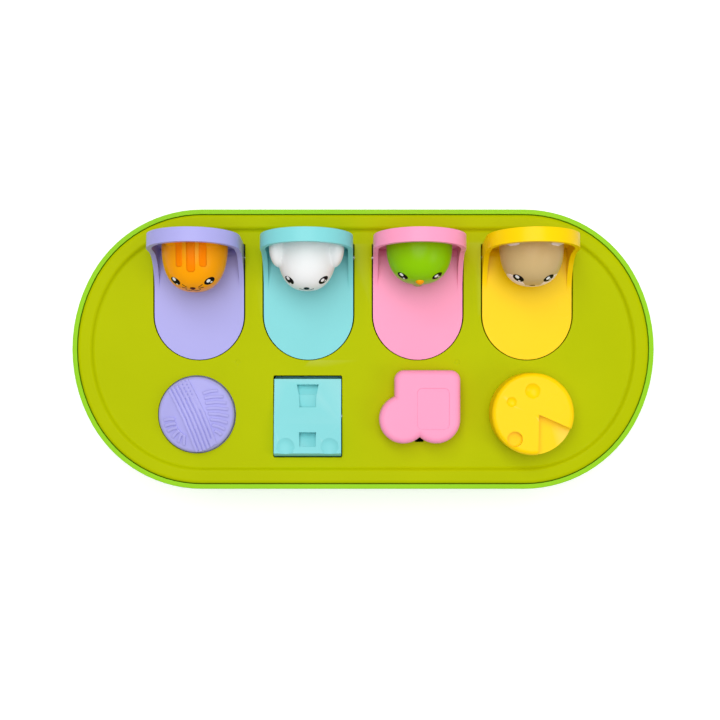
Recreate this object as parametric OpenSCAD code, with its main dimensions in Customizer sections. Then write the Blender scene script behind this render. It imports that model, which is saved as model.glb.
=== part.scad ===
// A pop-up animal toy: a case with four spring lids, each opened by its own control.
// The origin is on the floor under the middle of the case, +X to the right, +Y to the back.

/* [Case] */
// Length of the case
case_l = 360; // [350:1:380]
// Width of the case, front to back
case_w = 173; // [171:1:180]
// Radius of the two rounded ends
end_r = 95; // [92:1:98]
// Thickness of the case wall
wall_t = 3; // [2.4:0.1:3.2]
// Thickness of the case floor
floor_t = 2.5; // [2:0.1:4]
// Radius of the case's lower edge
base_fillet = 8; // [5:0.5:9]
// Height of the rubber feet below the case
foot_h = 2; // [1:0.5:4]
// Diameter of the rubber feet
foot_d = 14; // [10:1:20]
/* [Top panel] */
// Thickness of the top panel
panel_t = 2.5; // [2:0.1:3]
// Distance from the case's outside to the sunk field
field_inset = 13.3; // [12.8:0.1:13.4]
// Height of the border above the field
border_rise = 2.5; // [1.5:0.1:3]
// Gap between the case rim and the panel
rim_gap = 0.35; // [0.2:0.05:0.5]
// How far the case rim lies below the border
rim_drop = 1; // [0:0.1:1.5]
// Depth of the panel's skirt below the field
skirt_h = 8; // [6:0.5:10]
/* [Hoods] */
// Space between one hood and the next
hood_space = 12.3; // [11.1:0.1:12.6]
// Width of each hood
hood_w = 55.4; // [54:0.1:55.6]
// Length of each hood plate from its hinge to its round end
hood_reach = 63.7; // [61:0.1:64]
// Thickness of the hood plates
plate_t = 2.5; // [2:0.1:3]
// Height of the hood plate's face above its hinge
plate_top = 7; // [6.6:0.1:7.4]
// Depth of the rim round the back plate
band_d = 8.5; // [7:0.1:9.5]
// Thickness of the rim and the side walls
band_t = 3; // [2.4:0.1:3.2]
// Radius of the hollow front edge of the side walls
web_r = 23; // [20:1:26]
// Angle that a hood turns from open to closed
hood_turn = 95.5; // [94:0.5:97]
// Gap between a hood and its opening at the sides
hood_gap = 0.8; // [0.6:0.1:1]
// Gap between a hood and its opening at the tip
tip_gap = 0.45; // [0.4:0.05:0.6]
// Distance of the hinge line behind the middle of the case
hinge_y = 57.2; // [56:0.1:57.6]
// Diameter of the hinge pins
pin_d = 3; // [2.5:0.1:3.2]
/* [Animals] */
// Diameter of the animal heads
head_d = 40; // [38:0.5:41]
// Depth of the cat's, dog's, bird's and mouse's heads
head_depths = [30.2, 29.5, 25.5, 26.7]; // [22:0.5:31]
// Wall thickness of the heads
head_wall = 2; // [1.6:0.1:2.6]
/* [Controls] */
// Diameter of the push button
button_d = 46.8; // [45:0.1:47.6]
// Travel of the push button
button_travel = 5; // [4:0.1:5.2]
// Height of the push button's middle above the field
button_h = 9; // [8:0.5:11]
// Width of the rocker
rocker_w = 41.5; // [40:0.1:42]
// Radius of the rocker's two ends about its pin
rocker_r = 25.2; // [24:0.1:26]
// Tilt of the rocker at rest, and the other way when pressed
rocker_tilt = 8; // [6:0.5:9]
// Height of the slider knob above the field
slider_h = 14; // [10:0.5:18]
// Width of the slider knob's body
slider_body_w = 40.3; // [38:0.1:42]
// Radius of the slider knob's two lobes
lobe_r = 14.8; // [13:0.1:15.5]
// Travel of the slider
slider_travel = 12; // [10:0.5:12.5]
// Width of the slider's slot
slot_w = 5.3; // [4.8:0.1:6]
// Diameter of the round knob
dial_d = 50; // [46:0.5:52]
// Height of the round knob above the field
dial_h = 20; // [15:0.5:24]
// Turn of the round knob
dial_turn = 75; // [60:1:80]
/* [Catches] */
// Turn of each catch lever
catch_turn = 9.2; // [9:0.1:9.6]
// Thickness of the catch's lower arm
arm_t = 3; // [2.5:0.1:4]
// Room under the lower arm for it to bend when a lid snaps shut
arm_gap = 2.6; // [2.4:0.1:4]
// Height by which the tooth stands behind the lid's tip
bite = 2.2; // [1.8:0.1:2.4]

/* [Hidden] */
$fn = 96;
fine = 0.01;
// Running clearance of pins in their bores
run = 0.06;
// Clearance between moving plastic faces
free = 0.3;
// Overlap of the solids that make up one piece
lap = 0.5;
pin_r = pin_d / 2;
corner_r = case_w - end_r;
end_x = case_l / 2 - end_r;
corner_x = end_x + (end_r - corner_r) * cos(30);
corner_y = (end_r - corner_r) / 2;
floor_z = foot_h + floor_t;
hood_half = hood_w / 2;
arch_y = hood_reach - hood_half;
swing_r = sqrt(hood_reach * hood_reach + plate_top * plate_top);
arm_z = floor_z + arm_gap;
arm_top = arm_z + arm_t;
sweep_gap = 1.2;
hinge_z = arm_top + sweep_gap + swing_r;
field_z = hinge_z + plate_top;
under_z = field_z - panel_t;
border_z = field_z + border_rise;
rim_z = border_z - rim_drop;
skirt_z = field_z - skirt_h;
edge_d = wall_t + rim_gap;
skirt_t = 2.5;
ledge_d = wall_t + 2.6;
hood_pitch = hood_w + hood_space;
hood_x = [for (i = [0:3]) (i - 1.5) * hood_pitch];
open_half = hood_half + hood_gap;
rear_y = plate_top + 0.95;
// Lugs under the panel that hold the hinge pins and the rocker's pin
ear_t = 3;
lug_r = 5;
rocker_lug_r = 4.5;
barrel_r = plate_top - 0.3;
// How far the plates run past the hinge line into the barrel
plate_root = 0.4;
plate_z = plate_top - plate_t;
// The back plate is a hair wider than the side walls, then the floor plate, then the barrel
web_set = 0.05;
chamber_r = 4.7;
chamber_half = 5.5;
slot_half = 0.8;
// Places of the controls on the field, each in front of its hood
button_p = [hood_x[0] - 1.45, -40.4];
rocker_p = [hood_x[1] - 0.45, -41.7];
slider_p = [hood_x[2] + 0.95, -39];
dial_p = [hood_x[3] + 1.45, -39.5];
// Catch levers: place of their shafts by each hood, and reach of their upper arms
catch_dx = 24;
catch_y = -8;
shaft_r = 3.5;
stub_r = 2;
stub_h = 5;
peg_r = 2;
peg_h = 6;
upper_t = 3;
upper_z = field_z - 10.5;
peg_z = upper_z - upper_t - peg_h;
reach_short = 17;
reach_long = 30;
tooth_dx = -4;
tooth_w = 4;
push_x = reach_short * sin(catch_turn);
// Ribs on the tray's floor that the catch springs push against: offset, width, length and top
rib_dx = -16;
rib_w = 5;
rib_l = 3.95;
rib_top = 20;
// Guide tube of the push button
guide_r = 6.4;
guide_h = 38;
// Pins that the catches turn on
catch_pin_h = 12;
// Case screws, and the screws of the slider and the round knob
thread_r = 1.2;
well_r = 3.3;
post_r = 4.5;
post_top = field_z - 22;
screw_r = 1.5;
post_x = case_l / 2 - 28;
feet_x = case_l / 2 - 50;
feet_y = case_w / 2 - 36.5;
posts = [[-post_x, 32], [post_x, 32], [-post_x, -32], [post_x, -32], [0, case_w / 2 - 11.5], [0, -45]];
feet = [[-feet_x, feet_y], [feet_x, feet_y], [-feet_x, -feet_y], [feet_x, -feet_y]];

HOODS = ["lilac", "aqua", "pink", "yellow"];
HOOD_COLOURS = [[0.70, 0.68, 0.93], [0.52, 0.86, 0.87], [1, 0.6, 0.76], [1, 0.86, 0.1]];
HEADS = ["cat_head", "dog_head", "bird_head", "mouse_head"];

// ---- Outlines and helpers ----

// Points on an arc
function arc(c, r, a0, a1, n = 8) = [
    for (i = [0:n]) let (a = a0 + (a1 - a0) * i / n) c + r * [cos(a), sin(a)]
];

// The case's outline, drawn in by d: two end arcs, four corner arcs and two straights
function outline(d) = let (
    quarter = concat(
        arc([end_x, 0], end_r - d, 0, 30, 6),
        arc([corner_x, corner_y], corner_r - d, 35, 90, 11)
    ),
    back = [for (i = [len(quarter) - 1:-1:0]) [-quarter[i].x, quarter[i].y]],
    half = concat(quarter, back),
    front = [for (i = [len(half) - 2:-1:1]) [half[i].x, -half[i].y]]
) concat(half, front);

// A slab of height h inside the outline
module slab(d, h) {
    linear_extrude(h) polygon(outline(d));
}

// A wall of height h between two outlines
module wall(d0, d1, h) {
    linear_extrude(h) difference() {
        polygon(outline(d0));
        polygon(outline(d1));
    }
}

// A tube of radius r along a list of points, for the springs; ref is square to every stretch
module tube(points, r, ref, sides = 6) {
    n = len(points);
    unit = function (v) v / norm(v);
    ring = function (i) let (
        t = unit(points[min(i + 1, n - 1)] - points[max(i - 1, 0)]),
        a = unit(cross(t, ref)),
        b = cross(a, t)
    ) [for (k = [0:sides - 1]) points[i] + r * (cos(k * 360 / sides) * a + sin(k * 360 / sides) * b)];
    polyhedron(
        points = [for (i = [0:n - 1]) for (p = ring(i)) p],
        faces = concat(
            [[for (k = [0:sides - 1]) k]],
            [for (i = [0:n - 2]) for (k = [0:sides - 1])
                let (a = i * sides + k, b = i * sides + (k + 1) % sides) [a, a + sides, b + sides, b]],
            [[for (k = [sides - 1:-1:0]) (n - 1) * sides + k]]
        )
    );
}

// A coil along Z: radius r, height h, from angle a0 through the given turn in degrees
function coil(r, h, a0, turn, steps) = [
    for (i = [0:steps]) let (a = a0 + turn * i / steps) [r * cos(a), r * sin(a), h * i / steps]
];

// ---- Case ----

module base_tray() {
    color("limegreen") {
        difference() {
            union() {
                // Rounded lower edge in four steps, then the wall, its rim and the panel's ledge
                for (a = [0:22.5:67.5]) translate([0, 0, foot_h + base_fillet * (1 - cos(a))])
                    slab(base_fillet * (1 - sin(a + 22.5)), max(floor_t, base_fillet * 0.6));
                translate([0, 0, foot_h + base_fillet]) wall(0, wall_t, rim_z - 0.6 - foot_h - base_fillet);
                translate([0, 0, rim_z - 0.6]) wall(0.5, wall_t, 0.6);
                translate([0, 0, skirt_z - 2]) wall(wall_t - lap, ledge_d, 2);
                for (p = posts) translate([p.x, p.y, foot_h]) cylinder(r = post_r, h = post_top - foot_h);
                translate([button_p.x, button_p.y, foot_h]) cylinder(r = guide_r, h = guide_h);
                for (x = hood_x) {
                    translate([x + catch_dx, catch_y, foot_h]) cylinder(r = pin_r, h = catch_pin_h);
                    translate([x + catch_dx + rib_dx, catch_y, foot_h])
                        cube([rib_w, rib_l, rib_top - foot_h]);
                }
            }
            translate([0, 0, floor_z]) linear_extrude(base_fillet * 2) difference() {
                polygon(outline(wall_t));
                for (p = posts) translate(p) circle(post_r);
                translate(button_p) circle(guide_r);
                for (x = hood_x) translate([x + catch_dx, catch_y]) {
                    circle(pin_r);
                    translate([rib_dx, 0]) square([rib_w, rib_l]);
                }
            }
            for (p = posts) translate([p.x, p.y, -1]) {
                cylinder(r = well_r, h = post_top - 3);
                cylinder(r = screw_r, h = post_top + 5);
            }
            translate([button_p.x, button_p.y, floor_z]) cylinder(r = stem_r + 0.1, h = 60);
            for (p = feet) translate([p.x, p.y, 0]) cylinder(d = foot_d, h = foot_h + 1);
        }
        // Seats that the catch levers turn on
        for (x = hood_x) translate([x + catch_dx, catch_y, floor_z - lap])
            cylinder(r = shaft_r, h = arm_z - free - floor_z + lap);
    }
}

module rubber_feet() {
    color("dimgray") for (p = feet) translate([p.x, p.y, 0]) cylinder(d = foot_d, h = foot_h + 1);
}

module case_screws() {
    color("silver") for (p = posts) translate([p.x, p.y, post_top - 4]) {
        difference() {
            translate([0, 0, -2]) cylinder(r = 2.9, h = 2);
            translate([-0.4, -2, -2.1]) cube([0.8, 4, 1]);
            translate([-2, -0.4, -2.1]) cube([4, 0.8, 1]);
        }
        cylinder(r = screw_r, h = 16);
    }
}

// Arch of one hood, seen square on: hinge line on X, round end towards -Y, drawn in by d
module arch(d) {
    translate([-hood_half + d, -arch_y]) square([hood_w - 2 * d, arch_y + plate_root]);
    translate([0, -arch_y]) circle(hood_half - d);
}

module hood_opening() {
    shift = hood_gap - tip_gap;
    translate([-open_half, shift - arch_y]) square([2 * open_half, rear_y + arch_y - shift]);
    translate([0, shift - arch_y]) circle(open_half);
}

module rocker_hole() {
    side = rocker_hole_w / 2 - hole_corner;
    front = rocker_hole_l / 2 - hole_corner;
    square([2 * side, rocker_hole_l], center = true);
    square([rocker_hole_w, 2 * front], center = true);
    for (x = [-1, 1]) for (y = [-1, 1]) translate([x * side, y * front]) circle(hole_corner);
}

module slot_hole() {
    translate([-slot_w / 2, slot_front]) square([slot_w, slot_back - slot_front]);
}

module top_panel() {
    color("yellowgreen") difference() {
        union() {
            // Skirt, then the border with its rounded outer edge in three steps, then the field
            translate([0, 0, skirt_z]) wall(edge_d, edge_d + skirt_t, border_z - 1.2 - skirt_z);
            translate([0, 0, field_z - lap])
                wall(edge_d + 0.3, field_inset, border_z - 0.6 - field_z + lap);
            translate([0, 0, border_z - 0.8]) wall(edge_d + 1, field_inset + 0.3, 0.8);
            translate([0, 0, under_z]) slab(field_inset - skirt_t, panel_t);
            for (p = posts) translate([p.x, p.y, post_top])
                cylinder(r = post_r, h = field_z - 0.2 - post_top);
            for (x = hood_x) {
                for (s = [-1, 1]) translate([x + s * (open_half + ear_t / 2), hinge_y, hinge_z])
                    hinge_ear(lug_r, plate_z);
                translate([x + catch_dx, catch_y, under_z - stub_h]) cylinder(r = post_r, h = stub_h + 1);
            }
            for (s = [-1, 1])
                translate([rocker_p.x + s * (rocker_hole_w / 2 + ear_t / 2), rocker_p.y, rocker_z])
                    hinge_ear(rocker_lug_r, under_z - rocker_z);
            translate([dial_p.x, dial_p.y, boss_z]) cylinder(r = 9, h = field_z - 0.2 - boss_z);
            for (s = [-1, 1]) translate([slider_p.x + s * 10.3 - 1.2, slider_front - 2, under_z - 3])
                cube([2.4, 26 + slider_travel, 3.5]);
        }
        for (x = hood_x) {
            translate([x, hinge_y, under_z - 1]) linear_extrude(10) hood_opening();
            translate([x, hinge_y, hinge_z]) rotate([0, 90, 0])
                cylinder(r = pin_r + run, h = hood_pitch - 0.4, center = true);
            translate([x + catch_dx, catch_y, under_z - stub_h - 1])
                cylinder(r = stub_r + run, h = stub_h + 1);
        }
        translate([button_p.x, button_p.y, under_z - 1]) cylinder(r = button_d / 2 + 0.75, h = 9);
        translate([rocker_p.x, rocker_p.y, under_z - 1]) linear_extrude(9) rocker_hole();
        translate([rocker_p.x, rocker_p.y, rocker_z]) rotate([0, 90, 0])
            cylinder(r = pin_r + run, h = rocker_hole_w + 3 * ear_t, center = true);
        translate([slider_p.x, 0, under_z - 1]) linear_extrude(9) slot_hole();
        translate([dial_p.x, dial_p.y, boss_z - 1]) cylinder(r = dial_stem_r + 0.1, h = 30);
        for (p = posts) translate([p.x, p.y, post_top - 1]) cylinder(r = screw_r, h = 14);
    }
}

// A lug under the panel with a round lower end, to hold a pin at its middle
module hinge_ear(r, h) {
    rotate([0, 90, 0]) cylinder(r = r, h = ear_t, center = true);
    translate([-ear_t / 2, -r, 0]) cube([ear_t, 2 * r, h + 0.5]);
}

// ---- Hoods: modelled about their hinge, open ----

// Turns from the closed frame, where the back plate lies flat, to the open one
module stand_up() {
    rotate([-hood_turn, 0, 0]) children();
}

// Height and distance in the open frame of a point of the closed one
function stood(y, z) = [
    y * cos(hood_turn) + z * sin(hood_turn),
    -y * sin(hood_turn) + z * cos(hood_turn)
];

// Side view of a side wall: its hollow edge touches the floor plate's face and the band's front line
module side_web() {
    polygon(concat(
        [[0, 0], [web_centre_y(), plate_top - 1]],
        arc([web_centre_y(), plate_top + web_r], web_r, -90, 90 - hood_turn, 10),
        [stood(web_top_y(), plate_top - 0.5), stood(0, plate_top - 0.5)]
    ));
}

// The arc's centre lies web_r in front of the band's front line, at web_r above the floor
function web_centre_y() =
    let (n = [sin(hood_turn), cos(hood_turn)], d = plate_top - band_d - web_r)
    (d - n[1] * (plate_top + web_r)) / n[0];

// Where the arc meets the band, as a distance from the hinge in the closed frame
function web_top_y() =
    let (c = [web_centre_y(), plate_top + web_r]) c.x * cos(hood_turn) - c.y * sin(hood_turn);

module hood_shell() {
    difference() {
        union() {
            translate([0, 0, plate_z]) linear_extrude(plate_t) arch(2 * web_set);
            stand_up() {
                translate([0, 0, plate_z]) linear_extrude(plate_t) arch(0);
                translate([0, 0, plate_top - band_d]) linear_extrude(band_d) difference() {
                    arch(0);
                    translate([0, lap]) arch(band_t);
                }
            }
            rotate([0, 90, 0]) cylinder(r = barrel_r, h = hood_w - 6 * web_set, center = true);
            for (x = [-hood_half, hood_half - band_t]) translate([x + web_set, 0, 0])
                rotate([90, 0, 90]) linear_extrude(band_t - 2 * web_set) side_web();
        }
        rotate([0, 90, 0]) cylinder(r = pin_r, h = hood_w + 2, center = true);
        rotate([0, 90, 0]) cylinder(r = chamber_r, h = 2 * chamber_half, center = true);
        // Window to the chamber under the floor plate, and the slot for the spring's fixed leg
        translate([-chamber_half, -barrel_r - 1, -9]) cube([2 * chamber_half, barrel_r + 1, 9]);
        translate([chamber_half - 2 * slot_half - 0.4, -1, -9]) cube([2 * slot_half + 0.4, 12, 11]);
        translate([0, screw_y, 0]) cylinder(r = screw_r, h = 12);
    }
}

screw_y = -14;

module hood(i) {
    color(HOOD_COLOURS[i]) translate([hood_x[i], hinge_y, hinge_z]) hood_shell();
}

module hinge_pin(i) {
    color("silver") translate([hood_x[i], hinge_y, hinge_z]) rotate([0, 90, 0])
        cylinder(r = pin_r, h = 2 * (open_half + ear_t), center = true);
}

// Torsion spring round the pin: one leg under the floor plate, one under the panel's rear edge
module hinge_spring(i) {
    wire = 0.4;
    r = 3.3;
    h = 2 * (chamber_half - 1.1);
    leg = 11;
    up = plate_z - wire - 0.1;
    // The coil runs along X: built along Z and laid over, so that -X here is up
    coil_pts = coil(r, h, 0, 5 * 360, 70);
    first = [[-up, -leg, 0], [r, -leg * 0.45, 0]];
    last = [[r, leg * 0.63, h], [r * 0.3, leg * 0.82, h], [-up, leg, h]];
    color("silver") translate([hood_x[i] - h / 2, hinge_y, hinge_z]) rotate([0, 90, 0])
        tube(concat(first, coil_pts, last), wire, [0, 0, 1]);
}

module head_screw(i) {
    color("silver") translate([hood_x[i], hinge_y + screw_y, hinge_z]) {
        translate([0, 0, plate_z - 1.5]) difference() {
            cylinder(r = 2.8, h = 1.5);
            translate([-0.4, -1.8, -0.1]) cube([0.8, 3.6, 0.9]);
        }
        translate([0, 0, plate_z - fine]) cylinder(r = screw_r, h = plate_t + 7);
    }
}

// ---- Animal heads: modelled in the closed frame, back on the back plate, face down ----

head_r = head_d / 2;
head_y = -(plate_top + head_r + 1.3);
neck_r = 4.5;

// Half profile of a domed head, radius against depth, with a small flat at the front
function dome(r, d, n = 18) = [
    for (i = [0:n]) let (a = 90 * min(i, n - 1) / n)
        [i == n ? 0 : r * pow(cos(a), 0.8), d * pow(sin(a), 0.8)]
];

module domed(r, d) {
    rotate_extrude() polygon(concat([[0, 0]], dome(r, d)));
}

// A hollow domed head with its screw boss; children are the ears
module head(i, r) {
    d = head_depths[i];
    translate([hood_x[i], hinge_y, hinge_z]) {
        difference() {
            union() {
                stand_up() translate([0, head_y, plate_z]) mirror([0, 0, 1]) {
                    domed(r, d);
                    children();
                }
                translate([0, screw_y, plate_top]) cylinder(r = neck_r, h = 14);
            }
            difference() {
                stand_up() translate([0, head_y, plate_z + fine]) mirror([0, 0, 1])
                    domed(r - head_wall, d - head_wall);
                translate([0, screw_y, plate_top]) cylinder(r = neck_r, h = 14);
            }
            translate([0, screw_y, plate_top - 1]) cylinder(r = screw_r, h = 9);
        }
    }
}

// In the head's own frame +Z is the way it looks and +Y is down
module cat_head() {
    color("orange") head(0, head_r) for (s = [-1, 1])
        translate([s * 11, -head_r + 4, 6]) rotate([90, 0, 0]) rotate([0, 0, s * 14])
            cylinder(r1 = 6, r2 = 1.2, h = 10.5);
}

// Radius of the dog's hanging ears
ear_r = 9;

module dog_head() {
    color("white") head(1, head_r - 1.7) for (s = [-1, 1])
        translate([s * (head_r - 1.1), -3, ear_r + free]) rotate([0, 90, 0])
            cylinder(r = ear_r, h = 7, center = true);
}

module bird_head() {
    color("yellowgreen") head(2, head_r)
        translate([0, -head_r + 2, 8]) rotate([90, 0, 0]) cylinder(r1 = 4, r2 = 1.4, h = 7);
}

module bird_beak() {
    d = head_depths[2];
    color("orange") translate([hood_x[2], hinge_y, hinge_z]) stand_up()
        translate([0, head_y, plate_z]) mirror([0, 0, 1]) difference() {
            translate([0, 2, d - 4]) cylinder(r1 = 4.6, r2 = 1.8, h = 6.5);
            domed(head_r + fine, d + fine);
        }
}

module mouse_head() {
    color("tan") head(3, head_r - 0.6) for (s = [-1, 1])
        translate([s * 13.5, -head_r + 4.5, 5]) cylinder(r = 7.5, h = 4.5);
}

// ---- Catches ----

tooth_y = hinge_y + stood_closed_y() - free;

// Where the closed floor plate's tip has its front face, behind or before the hinge
function stood_closed_y() =
    -hood_reach * cos(hood_turn) - plate_top * sin(hood_turn) - bite * 0.1;

module catch_lever(i) {
    s = [hood_x[i] + catch_dx, catch_y];
    reach = i == 3 ? reach_long : reach_short;
    tip = [hood_x[i] + tooth_dx, tooth_y - 2] - s;
    lean = atan2(-tip.x, tip.y);
    tooth_top = arm_top + sweep_gap + bite;
    color("lightgray") translate([s.x, s.y, 0]) {
        difference() {
            union() {
                translate([0, 0, arm_z]) cylinder(r = shaft_r, h = under_z - stub_h - free - arm_z);
                translate([0, 0, arm_z]) cylinder(r = stub_r, h = under_z - 1 - arm_z);
                rotate([0, 0, lean]) translate([-3, 0, arm_z]) cube([6, norm(tip), arm_t]);
                rotate([0, 0, lean]) translate([-3.95, 12.5, arm_z]) cube([2.4, 3.5, arm_t + 4]);
                translate([tip.x - tooth_w / 2, tip.y + 2, 0]) rotate([90, 0, 90]) linear_extrude(tooth_w)
                    polygon([[0, arm_z], [0, tooth_top], [-1.5, tooth_top], [-6, arm_top], [-6, arm_z]]);
                translate([-2, -reach, upper_z - upper_t]) cube([4, reach, upper_t]);
                translate([0, -reach, peg_z]) cylinder(r = peg_r, h = peg_h + upper_t);
            }
            translate([0, 0, arm_z - 1]) cylinder(r = pin_r + run, h = 10);
        }
    }
}

// Torsion spring round the catch's shaft, above the lower arm
module catch_spring(i) {
    s = [hood_x[i] + catch_dx, catch_y];
    tip = [hood_x[i] + tooth_dx, tooth_y - 2] - s;
    lean = atan2(-tip.x, tip.y);
    r = 4.6;
    wire = 0.35;
    h = 5;
    leg = 15;
    // The lower leg lies along the arm, the upper one along the rib on the floor
    low = [for (t = [leg, leg / 2]) [-r * cos(lean) - t * sin(lean), -r * sin(lean) + t * cos(lean), 0]];
    high = [for (t = [leg / 2, leg]) [-t, r, h]];
    turns = coil(r, h, lean + 180, -4 * 360 - lean - 90, 66);
    color("silver") translate([s.x, s.y, arm_top + 1.2])
        tube(concat(low, turns, high), wire, [0, 0, 1]);
}

// ---- Push button ----

stem_r = 4;

module push_button() {
    r = button_d / 2;
    wedge_face = hood_x[0] + catch_dx - peg_r - free;
    slope = push_x / button_travel;
    flange_z = under_z - 0.2 - 2;
    color([0.78, 0.72, 0.95]) translate([button_p.x, button_p.y, 0]) {
        rotate_extrude() polygon(concat(
            [[0, field_z + button_h]],
            [for (i = [1:8]) let (a = i * 9) [(r - 3) * sin(a) / sin(72),
                field_z + 5 + (button_h - 5) * (cos(a) - cos(72)) / (1 - cos(72))]],
            arc([r - 3, field_z + 2], 3, 80, 0, 6),
            [[r, flange_z + 2], [r + 2.6, flange_z + 2], [r + 2.6, flange_z], [r - 2.5, flange_z],
            [r - 2.5, field_z + 1], [r - 5, field_z + 2.5], [stem_r, field_z + 3],
            [stem_r, 28], [0, 28]]
        ));
        translate([-button_p.x, -button_p.y, 0]) {
            translate([0, catch_y - reach_short - 2.5, 0]) rotate([90, 0, 0]) mirror([0, 0, 1])
                linear_extrude(5) polygon([
                    [wedge_face - 5, flange_z + 2],
                    [wedge_face + slope * (flange_z + 2 - upper_z), flange_z + 2],
                    [wedge_face - slope * 2.5, upper_z - 2.5],
                    [wedge_face - 5, upper_z - 2.5]]);
        }
    }
}

button_spring_z = foot_h + guide_h;

module button_spring() {
    h = field_z + 1.2 - button_spring_z;
    color("silver") translate([button_p.x, button_p.y, button_spring_z + 0.6])
        tube(coil(5.4, h, 0, 7 * 360, 126), 0.5, [0, 0, 1]);
}

// ---- Rocker ----

rocker_z = field_z - 6;
rocker_hole_w = rocker_w + 1.2;
rocker_hole_l = 2 * rocker_r + 0.9;
hole_corner = 1;
rocker_wall = 2.2;
rocker_boss_r = 3.5;
// The rocker's faces lie this far above and below its pin
rocker_half = 8;

module rocker_side(d) {
    intersection() {
        circle(rocker_r - d);
        translate([-rocker_r - 1, -rocker_half]) square([2 * rocker_r + 2, 2 * rocker_half - d]);
    }
}

module rocker() {
    half = rocker_w / 2;
    inside = rocker_w - 2 * rocker_wall;
    open_y = rocker_r - rocker_wall;
    y_peg = catch_y - reach_short - rocker_p.y;
    z_peg = peg_z - rocker_z;
    // The leg reaches this far past the peg
    leg_past = 5.4;
    low = y_peg * sin(rocker_tilt) + z_peg * cos(rocker_tilt);
    slope = push_x / (2 * y_peg * sin(rocker_tilt));
    face = hood_x[1] + catch_dx - peg_r - free - rocker_p.x;
    color([0.5, 0.86, 0.86]) translate([rocker_p.x, rocker_p.y, rocker_z]) rotate([-rocker_tilt, 0, 0])
        difference() {
            union() {
                rotate([90, 0, 90]) linear_extrude(rocker_w, center = true) rocker_side(0);
                translate([0, y_peg + 4, 0]) rotate([90, 0, 0]) linear_extrude(8.4) polygon([
                    [half - rocker_wall, -5], [half, -5], [half, low + (face - half) / slope],
                    [face + slope * leg_past, low - leg_past], [face - 1, low - leg_past],
                    [half - rocker_wall, low]]);
            }
            rotate([90, 0, 90]) linear_extrude(inside, center = true) difference() {
                rocker_side(rocker_wall);
                circle(rocker_boss_r);
            }
            translate([-inside / 2, -open_y, -rocker_half - 1]) cube([inside, 2 * open_y, 2]);
            rotate([0, 90, 0]) cylinder(r = pin_r + run, h = rocker_w + 2, center = true);
        }
}

module rocker_pin() {
    color("silver") translate([rocker_p.x, rocker_p.y, rocker_z]) rotate([0, 90, 0])
        cylinder(r = pin_r, h = rocker_hole_w + 2 * ear_t, center = true);
}

// ---- Slider ----

stem_w = slot_w - 0.4;
stem_l = 12;
slot_front = -57.5;
slot_back = slot_front + stem_l + slider_travel + 0.8;
slider_front = slot_back - 0.4 - stem_l;
carriage_top = under_z - 0.25;

// The knob's body: its left side and front line from the stem, its length and its corners
body_left = -15.6;
body_front = -4;
body_l = 30;
body_corner = 6;
// Place of the left lobe from the body's left side
lobe_dx = 5.4;
slider_edge = 3;

// Outline of the knob, drawn in by d: a body with two lobes at the front, like a boot
module slider_outline(d) {
    corner = body_corner;
    x0 = slider_p.x + body_left;
    y0 = slider_p.y + body_front;
    y1 = y0 + body_l;
    translate([x0 + d, y0]) square([slider_body_w - 2 * d, y1 - y0 - corner]);
    translate([x0 + corner, y0]) square([slider_body_w - 2 * corner, y1 - y0 - d]);
    for (x = [x0 + corner, x0 + slider_body_w - corner])
        translate([x, y1 - corner]) circle(corner - d);
    for (x = [x0 + lobe_dx, x0 + slider_body_w - lobe_r]) translate([x, y0]) circle(lobe_r - d);
}

module slider_knob() {
    color("hotpink") difference() {
        union() {
            translate([0, 0, field_z + free])
                linear_extrude(slider_h - slider_edge - free) slider_outline(0);
            translate([0, 0, field_z + slider_h - slider_edge - fine])
                linear_extrude(slider_edge + fine) slider_outline(slider_edge / 2);
            translate([slider_p.x - stem_w / 2, slider_front, carriage_top])
                cube([stem_w, stem_l, field_z + 1 - carriage_top]);
        }
        translate([slider_p.x, slider_front + stem_l / 2, carriage_top - 1]) cylinder(r = thread_r, h = 9);
    }
}

module slider_carriage() {
    wedge_face = hood_x[2] + catch_dx - peg_r - free;
    slope = push_x / slider_travel;
    y0 = catch_y - reach_short;
    y_far = y0 + slider_travel + 1.2;
    top = upper_z - upper_t - 0.4;
    color("lightgray") difference() {
        union() {
            translate([slider_p.x - 8.8, slider_front - 4, carriage_top - 5]) cube([17.6, 22, 5]);
            translate([slider_p.x + 4, slider_front + 12, top - 4])
                cube([4.8, 6, carriage_top - top]);
            translate([0, 0, top - 4]) linear_extrude(4) polygon([
                [slider_p.x + 4, slider_front + 12], [slider_p.x + 4, slider_front + 18],
                [wedge_face - 4, y_far], [wedge_face + slope * (y_far - y0), y_far],
                [wedge_face - slope * 2.4, y0 - 2.4], [wedge_face - 4, y0 - 2.4]]);
        }
        translate([slider_p.x, slider_front + stem_l / 2, carriage_top - 9]) cylinder(r = thread_r, h = 12);
    }
}

module slider_screw() {
    color("silver") translate([slider_p.x, slider_front + stem_l / 2, carriage_top - 5]) {
        translate([0, 0, -1.5]) cylinder(r = 2.6, h = 1.5);
        cylinder(r = thread_r, h = 11);
    }
}

// ---- Round knob ----

dial_stem_r = 6;
dial_edge = 3;
// Round dimples in the knob's top: place, radius and depth
dimples = [[-0.5, 14.1, 4.7, 2.5], [-13.2, 7.4, 3, 2.5], [-11.2, -15.1, 4.7, 4]];
// The cam's lightening holes
cam_hole_r = 4.5;
cam_hole_at = 12;
boss_z = field_z - 9;
cam_top = upper_z - upper_t - 0.5;
cam_t = 3.5;

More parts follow.
